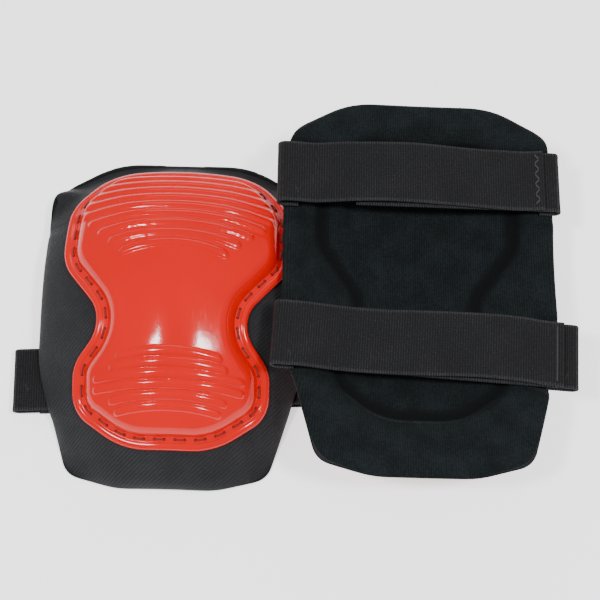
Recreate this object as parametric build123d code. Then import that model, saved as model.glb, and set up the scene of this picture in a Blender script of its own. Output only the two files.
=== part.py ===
from build123d import *
from math import cos, radians, sin, sqrt
import os

# A pair of strap-on knee pads, in millimetres, +Z up, lying on a flat surface.
# The left pad lies with its cap up, the right pad lies beside it with its cap down.
# Each pad is modelled cap up, with its rim in the plane z = 0 and +Y towards the thigh,
# and is then turned and moved to its place. "Out" is a distance outwards from the front
# face of the cover; the layers of the pad lie at negative values of it, the cap at positive.

# Pad outline in plan, right half: corner places and their radii
pad_half_width = 80.0
shoulder_y = 66.0
top_half_width = 46.0
pad_top = 89.0
hip_y = -54.0
heel_half_width = 62.0
heel_y = -111.0
bottom_half_width = 30.0
pad_bottom = -120.0
top_radius = 52.0
shoulder_radius = 36.0
hip_radius = 70.0
heel_radius = 16.0
bottom_radius = 60.0

# Layers of the padded shell
cover_thickness = 1.5
foam_thickness = 8.0
lining_thickness = 1.5
crown_y = 5.0

# Cap outline in plan, right half
cap_top = 76.0
cap_top_half_width = 44.0
cap_shoulder_y = 48.0
cap_half_width = 66.5
cap_lobe_low = 9.0
cap_waist_half_width = 37.5
cap_waist_y = -26.0
cap_heel_half_width = 56.5
cap_heel_high = -50.0
cap_heel_low = -76.0
cap_bottom_half_width = 26.0
cap_bottom = -97.0
cap_top_radius = 34.0
cap_shoulder_radius = 28.0
cap_waist_radius = 20.0
cap_heel_radius = 22.0
cap_bottom_radius = 46.0

# Cap section
cap_wall = 2.4
flange_width = 9.0
bead_width = 4.4
bead_height = 3.6
dome_height = 11.0

# Ribs moulded on the cap
rib_width = 3.2
rib_height = 1.2
rib_root = 0.6
rib_end_margin = 2.0
upper_rib_count = 11
upper_rib_pitch = 6.1
upper_rib_start = 11.0
upper_rib_half = 27.0
upper_rib_growth = 6.5
upper_rib_rise = 5.0
lower_rib_pitch = 6.1
lower_rib_start = 49.0
lower_rib_halves = (26.0, 29.0, 38.0, 38.0, 29.0, 26.0)
lower_rib_rise = 3.0

# Stitches that hold the cap on the cover
cap_stitch_pitch = 11.5
cap_stitch_length = 6.4
cap_stitch_inset = 6.6
thread_width = 0.9
thread_height = 0.3

# Straps
strap_width = 38.0
strap_thickness = 1.8
strap_lift = 0.4
hook_thickness = 1.0
hook_length = 58.0
hook_margin = 2.0
body_clearance = 0.3
long_fold_radius = 4.8
short_fold_radius = 3.9
short_strap_reach = 38.0
end_stitch_inset = 4.0
end_stitch_length = 3.4
end_stitch_pitch = 3.2
straps = {
    "upper": dict(y=46.0, tilt=0.0, end_gap=8.0, stitch_angle=40.0),
    "lower": dict(y=-50.0, tilt=3.0, end_gap=1.0, stitch_angle=0.0),
}

# The two pads: the right one lies on its back, where it opens a little flatter and longer.
# depth is the height of the crown above the rim, and side, top and bottom are the radii of
# the front face across the pad, towards its top and towards its bottom. wide and long scale
# the outlines across and along the pad, and cap_x is how far the cap is sewn off the middle.
# The bows are how far the folds of each strap stand out from the sides of the pad, long
# strap first. turn is the angle at which the pad lies, and roll is how far it tips sideways
# on its round cap.
pads = {
    "left": dict(depth=50.0, side=135.0, top=95.0, bottom=205.0, wide=1.0, long=1.0, cap_x=2.5,
                 bows={"upper": (1.5, 1.5), "lower": (8.0, 14.0)},
                 x=-70.0, y=7.0, turn=-1.5, roll=0.0, cap_down=False),
    "right": dict(depth=44.0, side=150.0, top=120.0, bottom=250.0, wide=1.01, long=1.07, cap_x=0.0,
                  bows={"upper": (4.0, 3.0), "lower": (5.0, 9.0)},
                  x=82.0, y=18.0, turn=-1.0, roll=3.0, cap_down=True),
}

foam_inner = -cover_thickness - foam_thickness
lining_inner = foam_inner - lining_thickness
short_low = strap_lift + strap_thickness + hook_thickness + body_clearance
notch_top = short_low + short_fold_radius + body_clearance
cap_peak = dome_height + rib_height
sweep = 110.0
top_arc_angles = (12, 78)
bottom_arc_angles = (90, 42)
tall = 200.0
root_inner_x = pad_half_width - shoulder_radius


def front_normal(pad, x, y):
    """Outward direction of the front face."""
    end_radius = pad["top"] if y > crown_y else pad["bottom"]
    lean = (y - crown_y) / end_radius
    level = sqrt(1 - lean**2)
    ring = pad["side"] - end_radius * (1 - level)
    return Vector(x / ring * level, lean, sqrt(1 - (x / ring) ** 2) * level)


def front_point(pad, x, y, out=0.0):
    """Point that stands a distance out from the front face, above one place in the plan."""
    end_radius = pad["top"] if y > crown_y else pad["bottom"]
    ring = pad["side"] - end_radius + sqrt(end_radius**2 - (y - crown_y) ** 2)
    on_face = Vector(x, y, pad["depth"] - pad["side"] + sqrt(ring**2 - x**2))
    return on_face + front_normal(pad, x, y) * out


def layer(pad, inner, outer):
    """Curved layer between two distances out from the front face."""
    arcs = [
        CenterArc((crown_y, pad["depth"] - pad[end]), pad[end] + out, *angles)
        for out in (outer, inner)
        for end, angles in (("top", top_arc_angles), ("bottom", bottom_arc_angles))
    ]
    top_outer, bottom_outer, top_inner, bottom_inner = arcs
    ends = [Line(top_outer @ 0, top_inner @ 0), Line(bottom_outer @ 1, bottom_inner @ 1)]
    axis = Axis((0, 0, pad["depth"] - pad["side"]), (0, 1, 0))
    section = (Plane.YZ * make_face(arcs + ends)).rotate(axis, -sweep / 2)
    return revolve(section, axis=axis, revolution_arc=sweep)


def mirrored_area(pad, corners):
    """Area inside the rounded corners of the right half and their mirror image."""
    ring = corners + [(-x, y, radius) for x, y, radius in reversed(corners)]
    points = [(x * pad["wide"], y * pad["long"]) for x, y, _ in ring]
    return make_face(FilletPolyline(*points, radius=[radius for _, _, radius in ring], close=True))


def pad_area(pad):
    return mirrored_area(pad, [
        (top_half_width, pad_top, top_radius),
        (pad_half_width, shoulder_y, shoulder_radius),
        (pad_half_width, hip_y, hip_radius),
        (heel_half_width, heel_y, heel_radius),
        (bottom_half_width, pad_bottom, bottom_radius),
    ])


def cap_area(pad):
    return Pos(pad["cap_x"], 0, 0) * mirrored_area(pad, [
        (cap_top_half_width, cap_top, cap_top_radius),
        (cap_half_width, cap_shoulder_y, cap_shoulder_radius),
        (cap_half_width, cap_lobe_low, cap_shoulder_radius),
        (cap_waist_half_width, cap_waist_y, cap_waist_radius),
        (cap_heel_half_width, cap_heel_high, cap_heel_radius),
        (cap_heel_half_width, cap_heel_low, cap_heel_radius),
        (cap_bottom_half_width, cap_bottom, cap_bottom_radius),
    ])


def column(area, inset=0.0):
    """Upright block that stands on the rim plane inside an area."""
    return extrude(offset(area, -inset) if inset else area, amount=tall)


def strap_notches(pad):
    """Room for the straps where they pass under the sides of the rim."""
    length = strap_width + 2 * body_clearance
    reach = 2 * pad_half_width * pad["wide"] + tall
    block = Box(reach, length, 2 * notch_top)
    upper, lower = [
        Pos(0, strap["y"] * pad["long"], 0) * Rot(0, 0, strap["tilt"]) * block
        for strap in straps.values()
    ]
    return upper + lower


def padded_shell(pad):
    """The three layers that are sewn together at the rim: cover, foam and lining."""
    block = column(pad_area(pad)) - strap_notches(pad)
    return {
        "cover": layer(pad, -cover_thickness, 0) & block,
        "foam_core": layer(pad, foam_inner, -cover_thickness) & block,
        "lining": layer(pad, lining_inner, foam_inner) & block,
    }


def rib_area(y, half, rise):
    """Plan of one rib: a band along a shallow arc that is highest in the middle."""
    middle = (0, y)
    ends = [(side * half, y - rise) for side in (-1, 1)]
    return SlotArc(ThreePointArc(ends[0], middle, ends[1]), rib_width)


def ribs(pad, dome_block):
    """Both groups of raised ribs, evenly spaced over the curve and cut off at the dome's end."""
    top, bottom = pad["top"], pad["bottom"]
    areas = []
    for i in range(upper_rib_count):
        y = crown_y + top * sin((upper_rib_start + upper_rib_pitch * i) / top)
        areas.append(rib_area(y, upper_rib_half + upper_rib_growth * i, upper_rib_rise))
    for i, half in enumerate(lower_rib_halves):
        y = crown_y - bottom * sin((lower_rib_start + lower_rib_pitch * i) / bottom)
        areas.append(rib_area(y, half, lower_rib_rise))
    band = layer(pad, dome_height - rib_root, dome_height + rib_height)
    areas = [Pos(pad["cap_x"], 0, 0) * area for area in areas]
    return [band & extrude(area, amount=tall) & dome_block for area in areas]


def cap_and_cushion(pad):
    """The moulded cap, and the cushion that fills the hollow behind its dome."""
    area = cap_area(pad)
    dome_block = column(area, flange_width)
    hollow_block = column(area, flange_width + cap_wall)
    cap = layer(pad, 0, cap_wall) & column(area)
    cap += (layer(pad, 0, bead_height) & column(area)) - column(area, bead_width)
    cap += layer(pad, 0, dome_height) & dome_block
    cushion = layer(pad, 0, dome_height - cap_wall) & hollow_block
    cap -= cushion
    rib_block = column(area, flange_width + rib_end_margin)
    for rib in ribs(pad, rib_block):
        cap += rib
    return {"cap": cap, "cap_cushion": cushion}


def thread(start, end, up):
    """Straight stitch between two points on a surface, standing on that surface."""
    along = end - start
    middle = (start + end) * 0.5 + up * (thread_height / 2)
    place = Plane(origin=middle, x_dir=along, z_dir=up)
    return place * Box(along.length, thread_width, thread_height)


def cap_stitching(pad):
    """Stitches in the groove between the bead and the dome of the cap."""
    line = offset(cap_area(pad), -cap_stitch_inset).face().outer_wire()
    count = round(line.length / cap_stitch_pitch)
    stitches = []
    for i in range(count):
        middle = line @ (i / count)
        half = (line % (i / count)) * (cap_stitch_length / 2)
        ends = [front_point(pad, middle.X + side * half.X, middle.Y + side * half.Y,
                            cap_wall + body_clearance) for side in (-1, 1)]
        stitches.append(thread(*ends, front_normal(pad, middle.X, middle.Y)))
    return Compound(stitches)


def quarter_fold(center_x, center_z, radius, upper):
    """Quarter ring of a fold, on the far side of its centre, above or below it."""
    ring = Circle(radius) - Circle(radius - strap_thickness)
    gap = body_clearance / 2
    quarter = Pos(radius / 2, (1 if upper else -1) * (radius / 2 + gap)) * Rectangle(radius, radius)
    return Pos(center_x, center_z) * (ring & quarter)


def flat_run(start_x, end_x, low_z, thickness=strap_thickness):
    """Section of a flat stretch between two places across the pad."""
    middle = ((start_x + end_x) / 2, low_z + thickness / 2)
    return Pos(*middle) * Rectangle(abs(end_x - start_x), thickness)


def across(section, width=strap_width):
    """Band of a section in the XZ plane, centred on the middle of the strap."""
    return extrude(Plane.XZ * section, amount=width / 2, both=True)


def folded_strap(fold_x, low, radius, end_x):
    """Sewn-in root and free strap of one fold; the two meet at the outermost line of the fold."""
    center_x = fold_x - radius
    center_z = low + radius
    root = quarter_fold(center_x, center_z, radius, True)
    root += flat_run(root_inner_x, center_x, center_z + radius - strap_thickness)
    free = quarter_fold(center_x, center_z, radius, False) + flat_run(end_x, center_x, low)
    return across(root), across(free)


def end_stitching(angle, end_x):
    """Row of stitches across the free end of the long strap, on its outer face."""
    count = int(strap_width / end_stitch_pitch) - 1
    stitches = []
    for i in range(count):
        lean = radians(90 + angle * (-1) ** i)
        half = Vector(cos(lean), sin(lean)) * (end_stitch_length / 2)
        middle = Vector(end_x + end_stitch_inset, (i - (count - 1) / 2) * end_stitch_pitch, strap_lift)
        stitches.append(thread(middle - half, middle + half, Vector(0, 0, -1)))
    return Compound(stitches)


def strap_set(pad, name, strap):
    """Long hook strap sewn in at one side, and the short loop strap it closes on."""
    edge = pad_half_width * pad["wide"]
    long_bow, short_bow = pad["bows"][name]
    long_end = -edge + strap["end_gap"]
    long_root, long_strap = folded_strap(edge + long_bow, strap_lift, long_fold_radius, long_end)
    short_root, short_strap = folded_strap(edge + short_bow, short_low, short_fold_radius,
                                           -short_strap_reach)
    hook_start = long_end + hook_margin
    hook = flat_run(hook_start, hook_start + hook_length, strap_lift + strap_thickness,
                    hook_thickness)
    pieces = {
        "long_strap_root": long_root,
        "long_strap": long_strap,
        "hook_patch": across(hook, strap_width - 2 * hook_margin),
        "end_stitching": end_stitching(strap["stitch_angle"], long_end),
        "short_strap_root": mirror(short_root, about=Plane.YZ),
        "short_strap": mirror(short_strap, about=Plane.YZ),
    }
    at_strap = Pos(0, strap["y"] * pad["long"], 0) * Rot(0, 0, strap["tilt"])
    pieces = {name + "_" + piece: at_strap * shape for piece, shape in pieces.items()}
    for root in (name + "_long_strap_root", name + "_short_strap_root"):
        pieces[root] -= column(pad_area(pad))
    return pieces


def place(pad, shape):
    """Turn one piece of a pad and move it to where the pad lies, rolled on its round cap."""
    if pad["cap_down"]:
        shape = Pos(0, 0, pad["depth"] + cap_peak) * Rot(0, 180, 0) * shape
        axis_height = pad["side"] + cap_peak
        shape = Pos(0, 0, axis_height) * Rot(0, pad["roll"], 0) * Pos(0, 0, -axis_height) * shape
    return Pos(pad["x"], pad["y"], 0) * Rot(0, 0, pad["turn"]) * shape


def build_pad(pad):
    pieces = padded_shell(pad)
    pieces.update(cap_and_cushion(pad))
    pieces["cap_stitching"] = cap_stitching(pad)
    for name, strap in straps.items():
        pieces.update(strap_set(pad, name, strap))
    return pieces


os.makedirs("parts", exist_ok=True)
for side, pad in pads.items():
    for name, shape in build_pad(pad).items():
        export_step(place(pad, shape), f"parts/{side}_{name}.step")
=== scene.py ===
from math import atan2, ceil, cos, pi, radians, sin, tan

import bmesh
import bpy
import numpy as np
from mathutils import Matrix, Vector


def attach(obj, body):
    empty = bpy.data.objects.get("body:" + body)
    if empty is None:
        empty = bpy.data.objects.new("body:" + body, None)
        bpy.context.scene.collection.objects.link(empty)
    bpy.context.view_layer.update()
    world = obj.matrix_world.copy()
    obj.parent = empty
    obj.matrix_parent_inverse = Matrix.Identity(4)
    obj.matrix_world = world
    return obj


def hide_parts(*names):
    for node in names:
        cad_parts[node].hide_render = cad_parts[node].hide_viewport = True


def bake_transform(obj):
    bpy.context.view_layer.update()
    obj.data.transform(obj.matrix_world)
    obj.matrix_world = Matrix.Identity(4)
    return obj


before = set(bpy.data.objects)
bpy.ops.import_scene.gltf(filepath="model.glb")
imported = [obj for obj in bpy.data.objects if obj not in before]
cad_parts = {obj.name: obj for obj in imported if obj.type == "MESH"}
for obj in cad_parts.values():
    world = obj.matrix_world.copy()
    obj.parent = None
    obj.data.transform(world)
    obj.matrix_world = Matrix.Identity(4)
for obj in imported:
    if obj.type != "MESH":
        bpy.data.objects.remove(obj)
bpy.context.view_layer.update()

# A pair of knee pads: the left one lies cap up, the right one cap down.
# Shapes are worked out in each pad's own place, cap up with its rim in the plane z = 0,
# in millimetres, and are then put where the CAD pad lies, in metres.

MM = 0.001

# ---------------------------------------------------------------- sizes shared with the CAD
CROWN_Y = 5.0
CAP_PEAK = 12.2
LAYERS = 11.0
STRAP_WIDTH = 38.0
STRAP_THICKNESS = 1.8
STRAP_LIFT = 0.4
SHORT_LOW = 3.5
LONG_FOLD = 4.8
SHORT_FOLD = 3.9
SHORT_REACH = 38.0
HOOK_THICKNESS = 1.0
HOOK_LENGTH = 58.0
HOOK_MARGIN = 2.0
HALF_WIDTH = 80.0
CAP_CORNERS = [(44, 76, 34), (66.5, 48, 28), (66.5, 9, 28), (37.5, -26, 20), (56.5, -50, 22),
               (56.5, -76, 22), (26, -97, 46)]
STRAPS = {
    "upper": dict(y=46.0, tilt=0.0, end_gap=8.0, zigzag=True),
    "lower": dict(y=-50.0, tilt=3.0, end_gap=1.0, zigzag=False),
}
# rise and sag carry the fabric past the CAD outline at a pad's top and bottom.
PADS = {
    "left": dict(name="left", depth=50.0, side=135.0, top=95.0, bottom=205.0, wide=1.0, long=1.0,
                 cap_x=2.5, bows={"upper": (1.5, 1.5), "lower": (8.0, 14.0)},
                 x=-70.0, y=7.0, turn=-1.5, roll=0.0, rise=3.5, sag=1.0, cap_down=False),
    "right": dict(name="right", depth=44.0, side=150.0, top=120.0, bottom=250.0, wide=1.01,
                  long=1.07, cap_x=0.0, bows={"upper": (4.0, 3.0), "lower": (5.0, 9.0)},
                  x=82.0, y=18.0, turn=-1.0, roll=3.0, rise=1.0, sag=5.0, cap_down=True),
}

# ---------------------------------------------------------------- sizes of the looks
# The fabric's outline is a little wider than the CAD one, with squarer shoulders.
PAD_CORNERS = [(43, 91, 56), (83, 71, 26), (82, -48, 80), (62, -111, 14), (30, -119, 60)]
PAD_SPINE = (52.0, -78.0)
CAP_SPINE = (34.0, -58.0)
BEAD_WIDTH = 4.6
BEAD_HEIGHT = 3.7
BEAD_FOOT = 0.35
FLANGE_HEIGHT = 2.3
GROOVE_END = 7.6
SHOULDER_HEIGHT = 8.6
SHOULDER_RUN = 9.0
DOME_HEIGHT = 11.0
CROWN_START = 3.0
CROWN_RUN = 34.0
DOME_WALL = 2.6
CUSHION_SHARE = 0.26
CUSHION_EDGE = 0.4
CUSHION_BACK = 0.2
RIB_WIDTH = 5.0
RIB_HEIGHT = 1.15
RIB_MARGIN = 2.5
RIB_FADE = 5.0
UPPER_RIBS = 11
UPPER_RIB_PITCH = 6.1
UPPER_RIB_START = 11.0
UPPER_RIB_HALF = 27.0
UPPER_RIB_GROWTH = 6.5
UPPER_RIB_RISE = 5.0
LOWER_RIB_PITCH = 6.1
LOWER_RIB_START = 49.0
LOWER_RIB_HALVES = [26.0, 29.0, 38.0, 38.0, 29.0, 26.0]
LOWER_RIB_RISE = 3.0
STITCH_INSET = 6.2
STITCH_PITCH = 11.5
STITCH_LENGTH = 7.0
STITCH_DIVE = 0.15
THREAD_RADIUS = 0.42
HOLE_RADIUS = 0.85
HOLE_DEPTH = 0.5
HOLE_LIP = 0.06
RIM_RADIUS = 9.0
RIM_SHARES = [0, 0.012, 0.035, 0.07]
COVER_SINK = 0.3
LEAST_THICKNESS = 1.2
SEAM_DEPTH = 3.6
SEAM_WIDTH = 3.4
SEAM_HOLD = 2.6
DART_Y = 38.0
DART_DEPTH = 1.6
DART_WIDTH = 1.8
DART_REACH = 13.0
FLOOR_GAP = 0.6
STRAP_ROOM = 5.6
STRAP_EASE = 9.0
FOLD_ZONE = 20.0
FOLD_EASE = 10.0
SKIN = 1.2
FOAM_SHARE = 0.62
FOAM_MARGIN_RINGS = 3
STUFFING_FRAMES = 20
ROOT_LENGTH = 9.0
STRAP_STEP = 2.5
SELVEDGE = 2.4
WEBBING_SHARE = 0.86
TUCK = 3.5
RIPPLE_HEIGHT = 1.1
RIPPLE_LENGTH = 23.0
FLUTTER_HEIGHT = 0.35
SLACK = 0.9
SWAY_WIDTH = 1.3
SWAY_LENGTH = 24.0

# Grids of the meshes: points round the outline, and rings from it to the spine.
CAP_GRID = ((860, 104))
UNDER_SHARES = [0.0, 0.02, 0.3, 1.0]
UNDER_OUT = [0.15, 0.05, 0.05, 0.05]
CUSHION_GRID = (240, 16)
SHELL_GRID = (252, 34)

# Distances in metres, as the meshes are in the shared frame.
MOULDING_WELD = 0.00012
CLOTH_WELD = 0.0003
STRAP_WELD = 1e-7
STUFFING_LIMIT = 0.0028


# ---------------------------------------------------------------- the curved form of a pad
def ring_radius(pad, y):
    """Radius of the form about its long axis, and of its lengthwise bow, at a height in the plan."""
    end = np.where(y > CROWN_Y, pad["top"], pad["bottom"])
    return pad["side"] - end + np.sqrt(end**2 - (y - CROWN_Y) ** 2), end


def normals(pad, x, y):
    """Outward directions of the front face."""
    ring, end = ring_radius(pad, y)
    lean = (y - CROWN_Y) / end
    level = np.sqrt(1 - lean**2)
    return np.stack([x / ring * level, lean, np.sqrt(1 - (x / ring) ** 2) * level], -1)


def on_front(pad, x, y, out):
    """Points that stand a distance out from the front face, above places in the plan."""
    x, y = np.asarray(x, float), np.asarray(y, float)
    ring, _ = ring_radius(pad, y)
    base = np.stack([x, y, pad["depth"] - pad["side"] + np.sqrt(ring**2 - x**2)], -1)
    return base + normals(pad, x, y) * np.asarray(out)[..., None]


def flat_place(pad, x, y):
    """Place on the cloth before it was curved, for weaves that follow the surface."""
    ring, end = ring_radius(pad, y)
    return ring * np.arcsin(x / ring), end * np.arcsin((y - CROWN_Y) / end)


def place_matrix(pad):
    """From a pad's own place, in millimetres, to the shared frame, in metres."""
    local = Matrix.Identity(4)
    if pad["cap_down"]:
        axis = pad["side"] + CAP_PEAK
        flip = Matrix.Translation((0, 0, pad["depth"] + CAP_PEAK)) @ Matrix.Rotation(pi, 4, "Y")
        roll = Matrix.Rotation(radians(pad["roll"]), 4, "Y")
        local = Matrix.Translation((0, 0, axis)) @ roll @ Matrix.Translation((0, 0, -axis)) @ flip
    turn = Matrix.Rotation(radians(pad["turn"]), 4, "Z")
    where = Matrix.Translation((pad["x"], pad["y"], 0))
    return Matrix.Scale(MM, 4) @ where @ turn @ local


# ---------------------------------------------------------------- outlines
def rounded(corners, arc_points=14):
    """Closed polyline through rounded corners."""
    points = np.array([c[:2] for c in corners], float)
    path = []
    for i, (_, _, radius) in enumerate(corners):
        here = points[i]
        back = points[i - 1] - here
        on = points[(i + 1) % len(corners)] - here
        back /= np.linalg.norm(back)
        on /= np.linalg.norm(on)
        half = np.arccos(np.clip(back @ on, -1, 1)) / 2
        middle = (back + on) / np.linalg.norm(back + on)
        centre = here + middle * radius / sin(half)
        start = here + back * radius / tan(half) - centre
        end = here + on * radius / tan(half) - centre
        first = atan2(start[1], start[0])
        swing = (atan2(end[1], end[0]) - first + pi) % (2 * pi) - pi
        for k in range(arc_points + 1):
            angle = first + swing * k / arc_points
            path.append(centre + radius * np.array([cos(angle), sin(angle)]))
    return np.array(path)


def cap_corners(pad):
    """Right half of the cap's outline, from the top down, and the place of its middle line."""
    return CAP_CORNERS, pad["cap_x"]


def pad_corners(pad):
    """Right half of the fabric's outline, raised at its top and let down at its bottom."""
    shifts = [pad["rise"], 0, 0, -pad["sag"], -pad["sag"]]
    corners = [(x, y + shift, radius) for (x, y, radius), shift in zip(PAD_CORNERS, shifts)]
    return corners, 0.0


def outline(pad, corners_of, count):
    """Outline of a pad or its cap, evenly spaced, starting at the top of its middle line."""
    half, middle = corners_of(pad)
    corners = half + [(-x, y, radius) for x, y, radius in reversed(half)]
    corners = [(x * pad["wide"] + middle, y * pad["long"], radius) for x, y, radius in corners]
    path = rounded(corners)
    step = np.linalg.norm(np.roll(path, -1, 0) - path, axis=1)
    along = np.concatenate([[0], np.cumsum(step)])
    closed = np.vstack([path, path[:1]])
    top = np.argmax(closed[:-1, 1] - 1e-3 * np.abs(closed[:-1, 0] - middle))
    where = (along[top] + np.arange(count) / count * along[-1]) % along[-1]
    return np.stack([np.interp(where, along, closed[:, k]) for k in (0, 1)], -1)


def distance_inside(line, x, y):
    """Distance to a closed line, positive inside it."""
    a, b = line, np.roll(line, -1, 0)
    d = b - a
    place = np.stack([x.ravel(), y.ravel()], -1)
    best = np.full(len(place), 1e9)
    inside = np.zeros(len(place), bool)
    for p, q, v in zip(a, b, d):
        t = np.clip(((place - p) @ v) / (v @ v), 0, 1)
        best = np.minimum(best, np.linalg.norm(place - p - t[:, None] * v, axis=1))
        crosses = (p[1] > place[:, 1]) != (q[1] > place[:, 1])
        if v[1]:
            inside ^= crosses & (place[:, 0] < p[0] + (place[:, 1] - p[1]) * v[0] / v[1])
    return np.where(inside, best, -best).reshape(x.shape)


def ring_plan(pad, line, limits, shares):
    """Rings between an outline and its spine, a stretch of the middle line; a row for each share."""
    top, bottom = (limit * pad["long"] for limit in limits)
    middle = (line[:, 0].max() + line[:, 0].min()) / 2
    ends = np.stack([line[:, 0] * 0 + middle, np.clip(line[:, 1], bottom, top)], -1)
    plan = line[None] + (ends - line)[None] * np.asarray(shares)[:, None, None]
    return plan[..., 0], plan[..., 1]


def smooth(t):
    """Eases from 0 to 1."""
    t = np.clip(t, 0, 1)
    return t * t * (3 - 2 * t)


# ---------------------------------------------------------------- meshes
def make_piece(name, points, faces, matrix=None):
    """Smooth-shaded object; the matrix takes its points to the shared frame."""
    mesh = bpy.data.meshes.new(name)
    mesh.from_pydata([tuple(p) for p in points], [], faces)
    mesh.validate()
    if matrix is not None:
        mesh.transform(matrix)
    mesh.polygons.foreach_set("use_smooth", [True] * len(mesh.polygons))
    mesh.update()
    piece = bpy.data.objects.new(name, mesh)
    bpy.context.scene.collection.objects.link(piece)
    return piece


def set_weave(piece, u, v, w=None):
    """Stores each vertex's place on the flat cloth, in millimetres, and its share of the seam groove,
    which the lining darkens as painted shade.
    """
    data = np.zeros((len(piece.data.vertices), 3))
    data[:, 0], data[:, 1] = u, v
    if w is not None:
        data[:, 2] = w
    layer = piece.data.attributes.new("weave", "FLOAT_VECTOR", "POINT")
    layer.data.foreach_set("vector", data.ravel())


def grid_faces(rows, columns, start=0, closed=True, flip=False):
    """Quads between rows of a grid whose rows are closed rings or open lines."""
    faces = []
    for r in range(rows - 1):
        for c in range(columns if closed else columns - 1):
            n = (c + 1) % columns
            a, b = start + r * columns + c, start + r * columns + n
            quad = (a, b, b + columns, a + columns)
            faces.append(quad[::-1] if flip else quad)
    return faces


def sheet_faces(top_rows, under_rows, count):
    """Faces of two sheets of rings, one over the other, joined along their outermost rings."""
    start = top_rows * count
    faces = grid_faces(top_rows, count, flip=True) + grid_faces(under_rows, count, start)
    for c in range(count):
        n = (c + 1) % count
        faces.append((c, n, start + n, start + c))
    return faces


def weld(piece, distance):
    """Joins the vertices that meet, such as both halves of a spine."""
    work = bmesh.new()
    work.from_mesh(piece.data)
    bmesh.ops.remove_doubles(work, verts=work.verts, dist=distance)
    bmesh.ops.dissolve_degenerate(work, edges=work.edges, dist=distance * 0.1)
    bmesh.ops.recalc_face_normals(work, faces=work.faces)
    work.to_mesh(piece.data)
    work.free()


def apply_modifiers(piece):
    graph = bpy.context.evaluated_depsgraph_get()
    graph.update()
    mesh = bpy.data.meshes.new_from_object(piece.evaluated_get(graph), depsgraph=graph)
    old = piece.data
    piece.modifiers.clear()
    piece.data = mesh
    bpy.data.meshes.remove(old)


def subdivide(piece):
    modifier = piece.modifiers.new("smooth", "SUBSURF")
    modifier.levels = modifier.render_levels = 1
    apply_modifiers(piece)


def tube_mesh(paths, radius, sides=8):
    """Points and faces of round threads along paths, each closed at both ends."""
    points, faces = [], []
    for path in paths:
        path = np.asarray(path, float)
        start = len(points)
        tangents = np.gradient(path, axis=0)
        tangents /= np.linalg.norm(tangents, axis=1)[:, None]
        up = np.array([0.0, 0.0, 1.0])
        if abs(tangents[len(path) // 2] @ up) > 0.9:
            up = np.array([0.0, 1.0, 0.0])
        for p, t in zip(path, tangents):
            side = np.cross(t, up)
            side /= np.linalg.norm(side)
            top = np.cross(side, t)
            for k in range(sides):
                angle = 2 * pi * k / sides
                points.append(p + radius * (cos(angle) * side + sin(angle) * top))
        faces += grid_faces(len(path), sides, start)
        faces.append(tuple(range(start, start + sides))[::-1])
        last = start + (len(path) - 1) * sides
        faces.append(tuple(range(last, last + sides)))
    return points, faces


# ---------------------------------------------------------------- materials
class Nodes:
    """Short way to add and join shader nodes."""

    def __init__(self, name):
        self.material = bpy.data.materials.new(name)
        self.material.use_nodes = True
        self.tree = self.material.node_tree
        self.shader = self.tree.nodes["Principled BSDF"]

    def add(self, kind, **settings):
        node = self.tree.nodes.new(kind)
        for key, value in settings.items():
            setattr(node, key, value)
        return node

    def join(self, source, target):
        self.tree.links.new(source, target)

    def value(self, target, source):
        if isinstance(source, (int, float)):
            target.default_value = source
        else:
            self.join(source, target)

    def math(self, operation, a, b=0.0, c=0.0):
        node = self.add("ShaderNodeMath", operation=operation)
        for socket, source in zip(node.inputs, (a, b, c)):
            self.value(socket, source)
        return node.outputs[0]

    def noise(self, place, scale, detail=3.0, roughness=0.5):
        node = self.add("ShaderNodeTexNoise")
        self.join(place, node.inputs["Vector"])
        node.inputs["Scale"].default_value = scale
        node.inputs["Detail"].default_value = detail
        node.inputs["Roughness"].default_value = roughness
        return node.outputs["Fac"]

    def ramp(self, factor, *stops):
        node = self.add("ShaderNodeValToRGB")
        self.join(factor, node.inputs["Fac"])
        elements = node.color_ramp.elements
        while len(elements) < len(stops):
            elements.new(0.5)
        for element, (position, colour) in zip(elements, stops):
            element.position = position
            element.color = (*colour, 1.0)
        return node.outputs["Color"]

    def weave(self):
        """Place on the flat cloth, whole and split into along, across and the seam's painted shade."""
        node = self.add("ShaderNodeAttribute", attribute_name="weave")
        split = self.add("ShaderNodeSeparateXYZ")
        self.join(node.outputs["Vector"], split.inputs["Vector"])
        return node.outputs["Vector"], split.outputs

    def object_place(self):
        """Place on the object, in metres."""
        return self.add("ShaderNodeTexCoord").outputs["Object"]

    def scaled(self, place, x, y, z):
        node = self.add("ShaderNodeMapping")
        self.join(place, node.inputs["Vector"])
        node.inputs["Scale"].default_value = (x, y, z)
        return node.outputs["Vector"]

    def bump(self, height, distance, strength=1.0, under=None):
        node = self.add("ShaderNodeBump")
        self.join(height, node.inputs["Height"])
        node.inputs["Distance"].default_value = distance
        node.inputs["Strength"].default_value = strength
        if under is not None:
            self.join(under, node.inputs["Normal"])
        return node.outputs["Normal"]

    def finish(self, colour, roughness, normal, **constants):
        self.join(colour, self.shader.inputs["Base Color"])
        self.value(self.shader.inputs["Roughness"], roughness)
        self.join(normal, self.shader.inputs["Normal"])
        for key, value in constants.items():
            self.shader.inputs[key.replace("_", " ")].default_value = value
        return self.material


def wave_of(n, coordinate, period):
    """Smooth wave between 0 and 1 with a period in millimetres."""
    turned = n.math("MULTIPLY", coordinate, 2 * pi / period)
    return n.math("MULTIPLY_ADD", n.math("SINE", turned), 0.5, 0.5)


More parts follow.
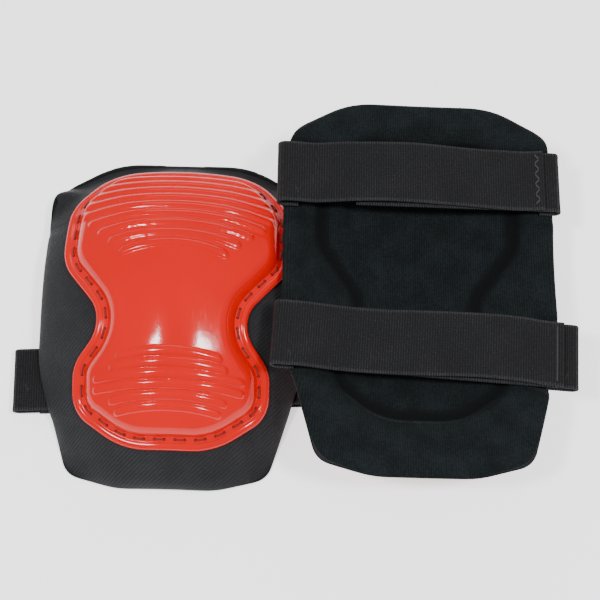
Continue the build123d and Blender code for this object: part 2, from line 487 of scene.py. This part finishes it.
def cap_plastic():
    """Moulded plastic, slightly uneven, with fine scuffs that change its shine."""
    n = Nodes("cap_plastic")
    place = n.object_place()
    mottle = n.noise(place, 18.0, 2.0)
    colour = n.ramp(mottle, (0.3, (0.60, 0.0006, 0.0003)), (0.7, (0.67, 0.0010, 0.0004)))
    scuffs = n.noise(n.scaled(place, 700, 90, 300), 1.0, 4.0, 0.6)
    marks = n.ramp(scuffs, (0.55, (0.10, 0.10, 0.10)), (0.78, (0.20, 0.20, 0.20)))
    soft = n.noise(place, 55.0, 2.0)
    skin = n.noise(place, 900.0, 2.0)
    normal = n.bump(soft, 0.0006, 0.25)
    normal = n.bump(skin, 0.00004, 0.25, normal)
    return n.finish(colour, marks, normal, Specular_IOR_Level=0.3, IOR=1.45)


def thread(name, dark, light):
    """Twisted thread."""
    n = Nodes(name)
    place = n.object_place()
    twist = n.add("ShaderNodeTexWave", wave_type="BANDS", bands_direction="DIAGONAL")
    n.join(place, twist.inputs["Vector"])
    twist.inputs["Scale"].default_value = 900.0
    twist.inputs["Distortion"].default_value = 2.0
    colour = n.ramp(twist.outputs["Fac"], (0.2, dark), (0.9, light))
    normal = n.bump(twist.outputs["Fac"], 0.00025, 0.7)
    return n.finish(colour, 0.7, normal, Sheen_Weight=0.15)


def cover_fabric():
    """Coated dobby twill: short diagonal floats over a dark ground."""
    n = Nodes("cover_fabric")
    vector, (u, v, _) = n.weave()
    diagonal = n.math("ADD", u, v)
    across = n.math("SUBTRACT", u, v)
    floats = wave_of(n, diagonal, 1.4)
    ends = wave_of(n, across, 2.8)
    fine = wave_of(n, u, 0.7)
    weave = n.math("MULTIPLY", floats, n.math("MULTIPLY_ADD", ends, 0.6, 0.4))
    height = n.math("MULTIPLY_ADD", fine, 0.25, weave)
    cloud = n.noise(vector, 0.05, 4.0, 0.6)
    fluff = n.noise(vector, 0.7, 6.0, 0.8)
    shade = n.math("MULTIPLY_ADD", weave, 0.38, n.math("MULTIPLY", cloud, 0.3))
    shade = n.math("MULTIPLY_ADD", fluff, 0.75, shade)
    colour = n.ramp(shade, (0.36, (0.0004, 0.0005, 0.0008)), (0.62, (0.0030, 0.0034, 0.0044)),
                    (0.96, (0.034, 0.037, 0.044)))
    rough = n.ramp(fluff, (0.3, (0.62, 0.62, 0.62)), (0.8, (0.82, 0.82, 0.82)))
    normal = n.bump(cloud, 0.003, 0.25)
    normal = n.bump(height, 0.0004, 0.8, normal)
    return n.finish(colour, rough, normal, Sheen_Weight=0.03, Sheen_Roughness=0.5,
                    Specular_IOR_Level=0.3)


def lining_knit():
    """Brushed knit: fine columns of loops under a short soft nap, with painted shade along the seam
    groove.
    """
    n = Nodes("lining_knit")
    vector, (u, v, seam_shade) = n.weave()
    columns = wave_of(n, u, 1.5)
    loops = wave_of(n, v, 1.1)
    nap = n.noise(vector, 0.6, 6.0, 0.8)
    cloud = n.noise(vector, 0.06, 4.0, 0.6)
    lint = n.noise(vector, 2.6, 2.0)
    knit = n.math("MULTIPLY", columns, n.math("MULTIPLY_ADD", loops, 0.5, 0.5))
    shade = n.math("MULTIPLY_ADD", knit, 0.16, n.math("MULTIPLY", nap, 0.8))
    shade = n.math("MULTIPLY_ADD", cloud, 0.45, shade)
    # painted shade: darker where the seam groove sinks into the lining
    shade = n.math("MULTIPLY_ADD", seam_shade, -0.45, shade)
    colour = n.ramp(shade, (0.35, (0.0008, 0.0014, 0.0018)), (0.62, (0.0024, 0.0040, 0.0048)),
                    (1.0, (0.014, 0.020, 0.022)))
    specks = n.ramp(lint, (0.72, (0, 0, 0)), (0.80, (1, 1, 1)))
    mix = n.add("ShaderNodeMix", data_type="RGBA")
    n.join(n.math("MULTIPLY", specks, 0.25), mix.inputs["Factor"])
    n.join(colour, mix.inputs["A"])
    mix.inputs["B"].default_value = (0.05, 0.065, 0.068, 1)
    normal = n.bump(cloud, 0.003, 0.3)
    normal = n.bump(n.math("MULTIPLY_ADD", knit, 0.4, nap), 0.0004, 0.7, normal)
    return n.finish(mix.outputs["Result"], 0.95, normal, Sheen_Weight=0.05, Sheen_Roughness=0.4,
                    Specular_IOR_Level=0.2, Sheen_Tint=(0.55, 0.75, 0.8, 1))


def strap_elastic():
    """Woven elastic: rubber cords along the strap bound by fine weft, with plain edges."""
    n = Nodes("strap_elastic")
    vector, (u, v, _) = n.weave()
    weft = wave_of(n, u, 1.45)
    cords = wave_of(n, v, 1.6)
    tooth = n.noise(vector, 0.8, 6.0, 0.8)
    cloud = n.noise(vector, 0.04, 4.0, 0.6)
    edge = n.math("ABSOLUTE", v)
    selvedge = n.add("ShaderNodeMapRange")
    n.join(edge, selvedge.inputs["Value"])
    selvedge.inputs["From Min"].default_value = STRAP_WIDTH / 2 - 2.2
    selvedge.inputs["From Max"].default_value = STRAP_WIDTH / 2 - 1.2
    weave = n.math("MULTIPLY", weft, n.math("MULTIPLY_ADD", cords, 0.3, 0.7))
    shade = n.math("MULTIPLY_ADD", weave, 0.24, n.math("MULTIPLY", tooth, 0.86))
    shade = n.math("MULTIPLY_ADD", cloud, 0.2, shade)
    shade = n.math("MULTIPLY_ADD", selvedge.outputs["Result"], 0.16, shade)
    colour = n.ramp(shade, (0.38, (0.0004, 0.0004, 0.0007)), (0.66, (0.0026, 0.0027, 0.0035)),
                    (1.0, (0.034, 0.034, 0.039)))
    wear = n.noise(n.scaled(vector, 0.10, 0.05, 1), 1.0, 5.0, 0.75)
    fuzz = n.ramp(wear, (0.64, (0, 0, 0)), (0.76, (1, 1, 1)))
    mix = n.add("ShaderNodeMix", data_type="RGBA")
    n.join(n.math("MULTIPLY", n.math("MULTIPLY", fuzz, tooth), 0.4), mix.inputs["Factor"])
    n.join(colour, mix.inputs["A"])
    mix.inputs["B"].default_value = (0.16, 0.158, 0.162, 1)
    normal = n.bump(cloud, 0.002, 0.2)
    normal = n.bump(n.math("MULTIPLY_ADD", tooth, 0.35, weave), 0.00045, 0.85, normal)
    return n.finish(mix.outputs["Result"], 0.84, normal, Sheen_Weight=0.03, Sheen_Roughness=0.5,
                    Specular_IOR_Level=0.3)


def hook_tape():
    """Rows of small shiny hooks."""
    n = Nodes("hook_tape")
    vector, (u, v, _) = n.weave()
    hooks = n.math("MULTIPLY", wave_of(n, u, 1.6), wave_of(n, v, 1.3))
    grain = n.noise(vector, 1.5, 3.0)
    shade = n.math("MULTIPLY_ADD", grain, 0.3, hooks)
    colour = n.ramp(shade, (0.2, (0.004, 0.004, 0.0045)), (0.9, (0.045, 0.045, 0.048)))
    return n.finish(colour, 0.45, n.bump(shade, 0.0008, 0.9))


def foam():
    """Open cells in dark foam."""
    n = Nodes("foam")
    place = n.object_place()
    cells = n.add("ShaderNodeTexVoronoi")
    n.join(place, cells.inputs["Vector"])
    cells.inputs["Scale"].default_value = 900.0
    colour = n.ramp(cells.outputs["Distance"], (0.1, (0.03, 0.03, 0.032)), (0.7, (0.09, 0.09, 0.092)))
    return n.finish(colour, 0.9, n.bump(cells.outputs["Distance"], 0.0003, 0.8))


def shadow_hole():
    """Painted shadow: a dark colour that stands in for the shade inside a needle hole."""
    n = Nodes("stitch_hole_shadow")
    colour = n.ramp(n.noise(n.object_place(), 2000.0),
                    (0.3, (0.012, 0.001, 0.001)), (0.8, (0.03, 0.002, 0.002)))
    return n.finish(colour, 0.9, n.bump(n.noise(n.object_place(), 2500.0), 0.0001))


MATERIALS = {make.__name__: make() for make in (cap_plastic, cover_fabric, lining_knit,
                                                strap_elastic, hook_tape, foam, shadow_hole)}
MATERIALS["cap_thread"] = thread("cap_thread", (0.06, 0.002, 0.002), (0.24, 0.008, 0.006))
MATERIALS["strap_thread"] = thread("strap_thread", (0.004, 0.004, 0.0045), (0.030, 0.029, 0.031))


def dress(piece, material, slot, body, *nodes):
    """Material, the CAD nodes it stands for, and the body it rides on; the slot is not used."""
    piece.data.materials.clear()
    piece.data.materials.append(MATERIALS[material])
    if nodes:
        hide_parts(*nodes)
    if body:
        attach(piece, body)


# ---------------------------------------------------------------- cap
def dome_profile(inset):
    """Height of the cap above the cover, without ribs, at a distance in from its edge."""
    half = BEAD_WIDTH / 2
    bead = np.sqrt(np.clip(1 - ((inset - half) / half) ** 2, 0, 1))
    foot = np.where(inset < half, BEAD_FOOT, FLANGE_HEIGHT)
    edge = foot + (BEAD_HEIGHT - foot) * bead
    rise = np.clip((inset - GROOVE_END) / SHOULDER_RUN, 0, 1)
    shoulder = (SHOULDER_HEIGHT - FLANGE_HEIGHT) * np.sin(rise * pi / 2) ** 0.9
    crown = (DOME_HEIGHT - SHOULDER_HEIGHT) * smooth((inset - GROOVE_END - CROWN_START) / CROWN_RUN)
    dome = FLANGE_HEIGHT + shoulder + crown
    return np.where(inset < BEAD_WIDTH, edge, np.where(inset < GROOVE_END, FLANGE_HEIGHT, dome))


def rib_lines(pad):
    """Middle, half length and rise of each rib."""
    lines = []
    for i in range(UPPER_RIBS):
        y = CROWN_Y + pad["top"] * sin((UPPER_RIB_START + UPPER_RIB_PITCH * i) / pad["top"])
        lines.append((y, UPPER_RIB_HALF + UPPER_RIB_GROWTH * i, UPPER_RIB_RISE))
    for i, half in enumerate(LOWER_RIB_HALVES):
        y = CROWN_Y - pad["bottom"] * sin((LOWER_RIB_START + LOWER_RIB_PITCH * i) / pad["bottom"])
        lines.append((y, half, LOWER_RIB_RISE))
    return lines


def rib_relief(pad, x, y, inset):
    """Height that the ribs add to the dome."""
    relief = np.zeros_like(x)
    _, end = ring_radius(pad, y)
    stretch = 1 / np.sqrt(1 - ((y - CROWN_Y) / end) ** 2)
    for middle, half, rise in rib_lines(pad):
        across = x - pad["cap_x"]
        line = middle - rise * (across / half) ** 2
        off = np.abs(y - line) * stretch / (RIB_WIDTH / 2)
        beyond = np.clip((np.abs(across) - half) / (RIB_WIDTH / 2), 0, 5)
        reach = np.sqrt(off**2 + beyond**2)
        relief = np.maximum(relief, np.sqrt(np.clip(1 - reach**2, 0, 1)))
    return relief * RIB_HEIGHT * smooth((inset - GROOVE_END - RIB_MARGIN) / RIB_FADE)


def make_cap(pad):
    """The moulding, with more rings near its edge, where the bead and the groove are."""
    count, rings = CAP_GRID
    line = outline(pad, cap_corners, count)
    shares = np.concatenate([np.linspace(0, 0.2, rings // 3, endpoint=False),
                             np.linspace(0.2, 1, rings - rings // 3)])
    x, y = ring_plan(pad, line, CAP_SPINE, shares)
    inset = np.maximum(distance_inside(outline(pad, cap_corners, 360), x, y), 0)
    inset[0] = 0
    top = on_front(pad, x, y, dome_profile(inset) + rib_relief(pad, x, y, inset))
    x, y = ring_plan(pad, line, CAP_SPINE, UNDER_SHARES)
    base = on_front(pad, x, y, np.array(UNDER_OUT)[:, None] * np.ones(count))
    piece = make_piece(pad["name"] + "_cap_moulding",
                       np.vstack([top.reshape(-1, 3), base.reshape(-1, 3)]),
                       sheet_faces(rings, len(UNDER_SHARES), count), place_matrix(pad))
    weld(piece, MOULDING_WELD)
    dress(piece, "cap_plastic", "cap_plastic", pad["name"] + "_pad", pad["name"] + "_cap")


def make_cushion(pad):
    """Soft filling behind the dome."""
    count, rings = CUSHION_GRID
    line = outline(pad, cap_corners, count)
    x, y = ring_plan(pad, line, CAP_SPINE, np.linspace(CUSHION_SHARE, 1, rings))
    inset = np.maximum(distance_inside(line, x, y), 0)
    out = np.clip(dome_profile(inset) - DOME_WALL, CUSHION_EDGE, None)
    out[0] = CUSHION_EDGE
    top = on_front(pad, x, y, out).reshape(-1, 3)
    base = on_front(pad, x, y, np.full_like(out, CUSHION_BACK)).reshape(-1, 3)
    piece = make_piece(pad["name"] + "_cap_filling", np.vstack([top, base]),
                       sheet_faces(rings, rings, count), place_matrix(pad))
    weld(piece, MOULDING_WELD)
    dress(piece, "foam", "foam", pad["name"] + "_pad", pad["name"] + "_cap_cushion")


def make_cap_stitches(pad):
    """Thread that dives into a needle hole at each end of every stitch, and dark discs over the holes as
    painted shadow.
    """
    whole = outline(pad, cap_corners, 900)
    inward = np.roll(whole, -1, 0) - np.roll(whole, 1, 0)
    inward = np.stack([inward[:, 1], -inward[:, 0]], -1)
    inward /= np.linalg.norm(inward, axis=1)[:, None]
    if distance_inside(whole, *(whole + inward)[:1].T)[0] < 0:
        inward = -inward
    seam = whole + inward * STITCH_INSET
    step = np.linalg.norm(np.roll(seam, -1, 0) - seam, axis=1)
    along = np.concatenate([[0], np.cumsum(step)])
    closed = np.vstack([seam, seam[:1]])
    count = round(along[-1] / STITCH_PITCH)
    pitch = along[-1] / count
    paths, hole_shadows = [], []
    lift = [-1.2, 0.15, 0.50, 0.62, 0.66, 0.62, 0.50, 0.15, -1.2]
    for i in range(count):
        where = (i + np.linspace(-0.5, 0.5, len(lift)) * STITCH_LENGTH / pitch) * pitch
        where[0], where[-1] = where[1] - STITCH_DIVE, where[-2] + STITCH_DIVE
        where = where % along[-1]
        place = np.stack([np.interp(where, along, closed[:, k]) for k in (0, 1)], -1)
        paths.append(on_front(pad, place[:, 0], place[:, 1], FLANGE_HEIGHT + np.array(lift)))
        for end in (1, -2):
            spot = place[[end, end]]
            depths = np.array([FLANGE_HEIGHT - HOLE_DEPTH, FLANGE_HEIGHT + HOLE_LIP])
            hole_shadows.append(on_front(pad, spot[:, 0], spot[:, 1], depths))
    points, faces = tube_mesh(paths, THREAD_RADIUS)
    piece = make_piece(pad["name"] + "_cap_threads", points, faces, place_matrix(pad))
    dress(piece, "cap_thread", "cap_thread", pad["name"] + "_pad", pad["name"] + "_cap_stitching")
    # Short dark tubes whose tops sit just over the flange: painted shadow for the needle holes.
    points, faces = tube_mesh(hole_shadows, HOLE_RADIUS, 10)
    piece = make_piece(pad["name"] + "_needle_hole_shadows", points, faces, place_matrix(pad))
    dress(piece, "shadow_hole", "cap_plastic", pad["name"] + "_pad")


# ---------------------------------------------------------------- padded shell
def strap_height(pad, x, y):
    """Lowest place the padding may reach: it lies on the floor, and on the straps."""
    floor = np.full_like(x, FLOOR_GAP)
    at_fold = smooth((np.abs(x) - HALF_WIDTH * pad["wide"] + FOLD_ZONE) / FOLD_EASE)
    for strap in STRAPS.values():
        middle = strap["y"] * pad["long"] + x * tan(radians(strap["tilt"]))
        near = smooth((STRAP_WIDTH / 2 + STRAP_EASE - np.abs(y - middle)) / STRAP_EASE)
        floor = np.maximum(floor, FLOOR_GAP + near * (STRAP_ROOM + STRAP_ROOM * at_fold))
    return floor


def keep_above(points, floor, soft=2.5):
    """Presses points up over a floor with a soft bend."""
    gap = (points[..., 2] - floor) / soft
    bend = np.log1p(np.exp(np.clip(gap, -30, 20)))
    points[..., 2] = floor + soft * np.where(gap > 20, gap, bend)
    return points


def shell_form(pad):
    """Front and back of the padding before it is stuffed, with what is needed to hold it."""
    count, rings = SHELL_GRID
    line = outline(pad, pad_corners, count)
    shares = np.concatenate([RIM_SHARES, np.linspace(0.115, 1, rings - len(RIM_SHARES))])
    x, y = ring_plan(pad, line, PAD_SPINE, shares)
    edge = np.maximum(distance_inside(line, x, y), 0)
    edge[0] = 0
    in_cap = distance_inside(outline(pad, cap_corners, 300), x, y)
    swell = LAYERS / 2 * np.sqrt(np.clip(1 - (1 - np.clip(edge / RIM_RADIUS, 0, 1)) ** 2, 0, 1))
    seam = np.exp(-((in_cap - STITCH_INSET) / SEAM_WIDTH) ** 2)
    dart = np.exp(-((y - DART_Y * pad["long"]) / DART_WIDTH) ** 2 - (edge / DART_REACH) ** 2)
    dart *= np.minimum(edge, 1)
    front = on_front(pad, x, y, -LAYERS / 2 + swell - COVER_SINK - dart * DART_DEPTH)
    back = on_front(pad, x, y, -LAYERS / 2 - swell + seam * SEAM_DEPTH + dart * DART_DEPTH)
    floor = strap_height(pad, x, y)
    return dict(x=x, y=y, in_cap=in_cap, seam=seam, back=keep_above(back, floor),
                front=keep_above(front, floor + LEAST_THICKNESS))


def stuff(piece, held):
    """Puffs a closed shell up with the cloth simulation, and returns where its points end.

    Points with a weight of 1 are held, and none moves further than STUFFING_LIMIT."""
    group = piece.vertex_groups.new(name="held")
    for weight in np.unique(held):
        if weight > 0:
            group.add(np.nonzero(held == weight)[0].tolist(), float(weight), "REPLACE")
    cloth = piece.modifiers.new("stuffing", "CLOTH")
    settings = cloth.settings
    settings.quality = 5
    settings.mass = 0.15
    settings.tension_stiffness = settings.compression_stiffness = 12
    settings.shear_stiffness = 6
    settings.bending_stiffness = 0.6
    settings.tension_damping = settings.compression_damping = 12
    settings.air_damping = 4
    settings.vertex_group_mass = "held"
    settings.pin_stiffness = 1.0
    settings.use_pressure = True
    settings.uniform_pressure_force = 4.0
    settings.shrink_min = -0.035
    settings.effector_weights.gravity = 0
    cloth.point_cache.frame_start = 1
    cloth.point_cache.frame_end = STUFFING_FRAMES
    scene = bpy.context.scene
    scene.frame_start, scene.frame_end = 1, STUFFING_FRAMES
    for number in range(1, STUFFING_FRAMES + 1):
        scene.frame_set(number)
    graph = bpy.context.evaluated_depsgraph_get()
    moved = piece.evaluated_get(graph).data
    count = len(piece.data.vertices)
    before, after = np.empty(count * 3), np.empty(count * 3)
    piece.data.vertices.foreach_get("co", before)
    moved.vertices.foreach_get("co", after)
    before, after = before.reshape(-1, 3), after.reshape(-1, 3)
    piece.modifiers.clear()
    scene.frame_set(1)
    shift = after - before
    length = np.linalg.norm(shift, axis=1)[:, None]
    return before + shift * np.minimum(1, STUFFING_LIMIT / np.maximum(length, 1e-9))


def shell_faces(rows, count):
    """Rings of the front, then those of the back, which shares the front's outermost ring."""
    front = grid_faces(rows, count, flip=True)
    to_back = (rows - 1) * count
    back = [tuple(i if i < count else i + to_back for i in face[::-1]) for face in front]
    return front + back


def skin_piece(pad, name, points, form, flip, material, node, seam_shade=None):
    """Thin skin made of the rings of one side of the stuffed shell."""
    rows, count = form["x"].shape
    piece = make_piece(name, points, grid_faces(rows, count, flip=flip))
    u, v = flat_place(pad, form["x"].ravel(), form["y"].ravel())
    set_weave(piece, u, v, seam_shade)
    weld(piece, CLOTH_WELD)
    subdivide(piece)
    solid = piece.modifiers.new("skin", "SOLIDIFY")
    solid.thickness = SKIN * MM
    solid.offset = -1
    apply_modifiers(piece)
    dress(piece, material, material, pad["name"] + "_pad", node)


def make_foam(pad, front_points, back_points):
    """Filling between the skins, kept clear of them and of the rim."""
    count, rings = SHELL_GRID
    rings -= FOAM_MARGIN_RINGS
    middle = (front_points + back_points) / 2
    sheets = [(middle + (points - middle) * FOAM_SHARE)[FOAM_MARGIN_RINGS * count:]
              for points in (front_points, back_points)]
    core = make_piece(pad["name"] + "_foam_filling", np.vstack(sheets),
                      sheet_faces(rings, rings, count))
    weld(core, CLOTH_WELD)
    dress(core, "foam", "foam", pad["name"] + "_pad", pad["name"] + "_foam_core")


def make_shell(pad):
    """Cover, foam and lining, stuffed as one closed shell that the cap's stitches hold."""
    form = shell_form(pad)
    rows, count = form["x"].shape
    front, back = form["front"].reshape(-1, 3), form["back"].reshape(-1, 3)
    seam_line = (form["front"][0] + form["back"][0]) / 2
    front[:count] = back[:count] = seam_line
    shell = make_piece(pad["name"] + "_shell", np.vstack([front, back[count:]]),
                       shell_faces(rows, count), place_matrix(pad))
    in_cap = form["in_cap"].ravel()
    hold_front = np.where(in_cap > 0, 1.0, 0.0)
    hold_front[:count] = 1.0
    hold_back = np.where(np.abs(in_cap - STITCH_INSET) < SEAM_HOLD, 1.0, 0.0)
    points = stuff(shell, np.concatenate([hold_front, hold_back[count:]]))
    bpy.data.objects.remove(shell)
    front_points = points[:len(front)]
    back_points = np.vstack([points[:count], points[len(front):]])
    name = pad["name"]
    skin_piece(pad, name + "_front_cover", front_points, form, True, "cover_fabric", name + "_cover")
    # The seam share passed to the lining darkens it along the seam groove as painted shade.
    skin_piece(pad, name + "_knit_lining", back_points, form, False, "lining_knit", name + "_lining",
               form["seam"].ravel())
    make_foam(pad, front_points, back_points)


# ---------------------------------------------------------------- straps
def fold_path(fold_x, low, radius, root_x, end_x):
    """Line through the middle of a strap's thickness: root, round the fold, to the free end."""
    middle_radius = radius - STRAP_THICKNESS / 2
    centre_x, centre_z = fold_x - radius, low + radius
    line = [(x, centre_z + middle_radius)
            for x in np.linspace(root_x, centre_x, 6, endpoint=False)]
    for angle in np.linspace(pi / 2, -pi / 2, 15):
        line.append((centre_x + middle_radius * cos(angle), centre_z + middle_radius * sin(angle)))
    run = centre_x - end_x
    line += [(x, centre_z - middle_radius)
             for x in np.linspace(centre_x, end_x, ceil(run / STRAP_STEP) + 1)[1:]]
    return np.array(line)


def strap_section(width=STRAP_WIDTH, thickness=STRAP_THICKNESS):
    """Thinner webbing between full selvedges with blunt edges, as across and height places."""
    half, thick = width / 2, thickness / 2
    shoulder, flank = half - 0.25, thick * 0.75
    across = np.linspace(-half + 1.0, half - 1.0, 15)
    top = [(a, thick * (1.0 if abs(a) > half - SELVEDGE else WEBBING_SHARE)) for a in across]
    right = [(shoulder, flank), (half, 0.0), (shoulder, -flank)]
    bottom = [(a, -h) for a, h in top[::-1]]
    left = [(-shoulder, -flank), (-half, 0.0), (-shoulder, flank)]
    return top + right + bottom + left


def strap_mesh(name, path, matrix, sag, sway, section):
    """Sweeps the section along the path; sag and sway give a soft rise and a sideways wave."""
    tangents = np.gradient(path, axis=0)
    tangents /= np.linalg.norm(tangents, axis=1)[:, None]
    steps = np.linalg.norm(np.diff(path, axis=0), axis=1)
    along = np.concatenate([[0], np.cumsum(steps)])
    points, places = [], []
    for (x, z), (tx, tz), s in zip(path, tangents, along):
        for across, height in section:
            lift = sag(x, across)
            points.append((x + tz * height, across + sway(x), z - tx * height + lift))
            places.append((s, across))
    rows, columns = len(path), len(section)
    faces = grid_faces(rows, columns)
    faces.append(tuple(range(columns))[::-1])
    faces.append(tuple(range((rows - 1) * columns, rows * columns)))
    piece = make_piece(name, points, faces, matrix)
    places = np.array(places)
    set_weave(piece, places[:, 0], places[:, 1])
    weld(piece, STRAP_WELD)
    return piece


def strap_matrix(pad, strap, mirrored=False):
    """From a strap's own place to the shared frame; a short strap is mirrored to the left."""
    at = Matrix.Translation((0, strap["y"] * pad["long"], 0))
    turn = Matrix.Rotation(radians(strap["tilt"]), 4, "Z")
    flip = Matrix.Scale(-1, 4, (1, 0, 0)) if mirrored else Matrix.Identity(4)
    return place_matrix(pad) @ at @ turn @ flip


def blend_at_fold(piece):
    """Bakes the strap's place in the shared frame into its points."""
    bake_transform(piece)


def strap_waves(pad, name):
    """Rise and sideways wave of a long strap; only one that lies on top rises."""
    edge = HALF_WIDTH * pad["wide"]
    free_up = 1.0 if pad["cap_down"] else 0.0
    phase = 0.0 if name == "upper" else 2.2

    def ripple(x, across):
        inside = smooth((edge - 12 - abs(x)) / 26)
        wave = RIPPLE_HEIGHT * sin(x / RIPPLE_LENGTH + phase) + SLACK
        return -free_up * inside * (wave + FLUTTER_HEIGHT * sin(x / 9 + across / 14))

    def sway(x):
        wave = SWAY_WIDTH * sin((x + 30) / SWAY_LENGTH + phase)
        return wave * smooth((edge - 4 - abs(x)) / 20)

    return ripple, sway


def still(*_):
    """No wave, for the short straps."""
    return 0.0


def make_straps(pad, name, strap):
    """A long strap with its hooks, and the short strap that it meets."""
    side = pad["name"]
    edge = HALF_WIDTH * pad["wide"]
    long_bow, short_bow = pad["bows"][name]
    long_end = -edge + strap["end_gap"]
    tuck = TUCK if min(long_bow, short_bow) < 2 else 0.0
    root = edge - ROOT_LENGTH - tuck
    ripple, sway = strap_waves(pad, name)

    matrix = strap_matrix(pad, strap)
    path = fold_path(edge + long_bow - tuck, STRAP_LIFT, LONG_FOLD, root, long_end)
    piece = strap_mesh(f"{side}_{name}_long_webbing", path, matrix, ripple, sway, strap_section())
    dress(piece, "strap_elastic", "strap_elastic", None,
          f"{side}_{name}_long_strap", f"{side}_{name}_long_strap_root")
    blend_at_fold(piece)

    start = long_end + HOOK_MARGIN
    low = STRAP_LIFT + STRAP_THICKNESS + HOOK_THICKNESS / 2
    path = np.array([(x, low) for x in np.linspace(start, start + HOOK_LENGTH, 25)])
    section = strap_section(STRAP_WIDTH - 2 * HOOK_MARGIN, HOOK_THICKNESS)
    piece = strap_mesh(f"{side}_{name}_hooks", path, matrix, ripple, sway, section)
    dress(piece, "hook_tape", "hook_tape", f"{side}_{name}_long", f"{side}_{name}_hook_patch")

    matrix = strap_matrix(pad, strap, True)
    path = fold_path(edge + short_bow - tuck, SHORT_LOW, SHORT_FOLD, root, -SHORT_REACH)
    piece = strap_mesh(f"{side}_{name}_short_webbing", path, matrix, still, still, strap_section())
    dress(piece, "strap_elastic", "strap_elastic", None,
          f"{side}_{name}_short_strap", f"{side}_{name}_short_strap_root")
    blend_at_fold(piece)


def make_scene_pieces():
    for pad in PADS.values():
        make_cap(pad)
        make_cushion(pad)
        make_cap_stitches(pad)
        make_shell(pad)
        for name, strap in STRAPS.items():
            make_straps(pad, name, strap)
    for side in PADS:
        for name in STRAPS:
            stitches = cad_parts[f"{side}_{name}_end_stitching"]
            stitches.data.materials[0] = MATERIALS["strap_thread"]


# ---------------------------------------------------------------- floor, light and camera
def make_stage():
    mesh = bpy.data.meshes.new("floor")
    size = 6.0
    corners = [(-size, -size, 0), (size, -size, 0), (size, size, 0), (-size, size, 0)]
    mesh.from_pydata(corners, [], [(0, 1, 2, 3)])
    floor = bpy.data.objects.new("floor", mesh)
    bpy.context.scene.collection.objects.link(floor)
    n = Nodes("floor_paper")
    colour = n.ramp(n.noise(n.object_place(), 3.0), (0.3, (0.94, 0.94, 0.94)), (0.7, (0.96, 0.96, 0.96)))
    paper = n.finish(colour, 0.9, n.bump(n.noise(n.object_place(), 500.0), 0.0001),
                     Emission_Color=(1, 1, 1, 1), Emission_Strength=1.1)
    mesh.materials.append(paper)


def softbox(name, place, target, size, power):
    data = bpy.data.lights.new(name, "AREA")
    data.shape = "RECTANGLE"
    data.size, data.size_y = size
    data.energy = power
    light = bpy.data.objects.new(name, data)
    bpy.context.scene.collection.objects.link(light)
    light.location = place
    light.rotation_euler = (Vector(target) - Vector(place)).to_track_quat("-Z", "Y").to_euler()


def make_lights():
    world = bpy.data.worlds.new("studio")
    bpy.context.scene.world = world
    world.use_nodes = True
    background = world.node_tree.nodes["Background"]
    background.inputs["Color"].default_value = (1, 1, 1, 1)
    background.inputs["Strength"].default_value = 0.55
    softbox("left_box", (-0.42, -0.20, 1.15), (0, 0, 0), (0.14, 0.14), 9)
    softbox("right_box", (0.42, -0.20, 1.15), (0, 0, 0), (0.14, 0.14), 9)
    softbox("back_box", (0.1, 1.3, 0.9), (0, 0, 0), (1.2, 0.35), 4)


def make_camera():
    elevation = radians(72)
    target = Vector((0.0058, 0.008, 0.0))
    distance = 0.75
    data = bpy.data.cameras.new("view")
    data.sensor_width = 36
    data.lens = 72.9
    camera = bpy.data.objects.new("view", data)
    bpy.context.scene.collection.objects.link(camera)
    back = Vector((0, -cos(elevation), sin(elevation)))
    camera.location = target + back * distance
    camera.rotation_euler = back.to_track_quat("Z", "Y").to_euler()
    bpy.context.scene.camera = camera


make_camera()
make_stage()
make_lights()
make_scene_pieces()
